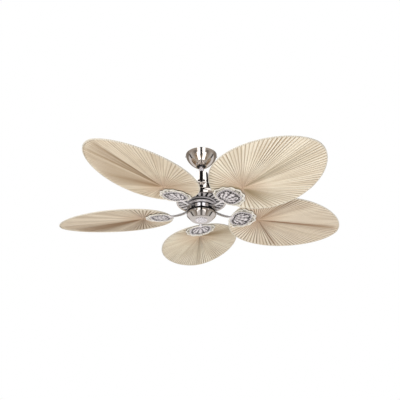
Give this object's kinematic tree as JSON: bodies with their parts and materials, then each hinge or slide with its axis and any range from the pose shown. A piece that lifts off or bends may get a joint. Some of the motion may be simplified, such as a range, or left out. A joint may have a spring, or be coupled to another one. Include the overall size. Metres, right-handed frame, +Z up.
{
  "type": "ceiling fan",
  "caption": "Ceiling fan with pleated palm-leaf blades on ornate cast irons, a bell-shaped motor housing, a short downrod and a bowl-shaped canopy.",
  "frame": {"origin": "centre of the ceiling face, midway between the two ceiling slots of the hanger bracket", "axes": "+Z up along the downrod and the rotor's axis; the ceiling slots run along X, and one blade points along +Y"},
  "size_m": [1.2623, 1.2108, 0.3205],
  "materials": {
    "polished_nickel": "polished nickel, slightly warm",
    "zinc_plate": "zinc plated",
    "steel": "plain steel",
    "dark_steel": "dark plated screws",
    "satin_casting": "satin casting",
    "cast_relief": "polished casting with dark recesses",
    "palm_leaf": "natural pleated palm leaf",
    "bound_edge": "sewn edge binding",
    "winding_wire": "enamelled wire",
    "black_plastic": "moulded",
    "ivory_plastic": "moulded"
  },
  "bodies": {
    "ceiling_mount": {"hanger_bracket": "zinc_plate", "canopy": "polished_nickel", "canopy_screws": "dark_steel", "terminal_block": "ivory_plastic"},
    "ball_seat": {"ball_seat": "ivory_plastic"},
    "hanging_fan": {"hanger_ball": "black_plastic", "ball_pin": "zinc_plate", "ball_set_screw": "dark_steel", "downrod": "polished_nickel", "rod_collar": "polished_nickel", "yoke_cover": "polished_nickel", "motor_yoke": "satin_casting", "yoke_pin": "zinc_plate", "pin_clip": "dark_steel", "yoke_set_screws": "dark_steel", "motor_shaft": "zinc_plate", "stator_core": "steel", "stator_windings": "winding_wire", "motor_housing": "polished_nickel", "housing_screws": "dark_steel", "vent_plate": "satin_casting", "vent_plate_screws": "dark_steel", "step_ring": "polished_nickel", "switch_plate": "zinc_plate", "shaft_nut": "zinc_plate", "switch_bowl": "polished_nickel", "bowl_screws": "dark_steel", "bottom_cap": "satin_casting", "capacitor": "black_plastic", "reverse_switch": "black_plastic"},
    "reverse_slider": {"reverse_slider": "ivory_plastic"},
    "rotor": {"rotor_upper_shell": "satin_casting", "rotor_lower_shell": "satin_casting", "rotor_ring": "steel", "upper_bearing": "steel", "lower_bearing": "steel", "rotor_screws": "dark_steel", "flywheel": "cast_relief", "flywheel_screws": "dark_steel", "iron_screws": "dark_steel", "iron_1": "cast_relief", "iron_2": "cast_relief", "iron_3": "cast_relief", "iron_4": "cast_relief", "iron_5": "cast_relief", "leaf_1": "palm_leaf", "leaf_2": "palm_leaf", "leaf_3": "palm_leaf", "leaf_4": "palm_leaf", "leaf_5": "palm_leaf", "leaf_binding_1": "bound_edge", "leaf_binding_2": "bound_edge", "leaf_binding_3": "bound_edge", "leaf_binding_4": "bound_edge", "leaf_binding_5": "bound_edge", "clamp_plates": "zinc_plate", "blade_screws": "dark_steel", "blade_nuts": "zinc_plate"}
  },
  "joints": [
    {"name": "seat_tilt", "type": "hinge", "parent": "ceiling_mount", "child": "ball_seat", "pos_m": [0, 0, -0.026], "axis": [0, 1, 0], "range_deg": [-6, 6]},
    {"name": "hanger_tilt", "type": "hinge", "parent": "ball_seat", "child": "hanging_fan", "pos_m": [0, 0, -0.026], "axis": [1, 0, 0], "range_deg": [-6, 6]},
    {"name": "rotor_spin", "type": "hinge", "parent": "hanging_fan", "child": "rotor", "pos_m": [0, 0, -0.265], "axis": [0, 0, 1], "continuous": true},
    {"name": "reverse_slide", "type": "slide", "parent": "hanging_fan", "child": "reverse_slider", "axis": [1, 0, 0], "range_m": [0, 0.004]}
  ]
}
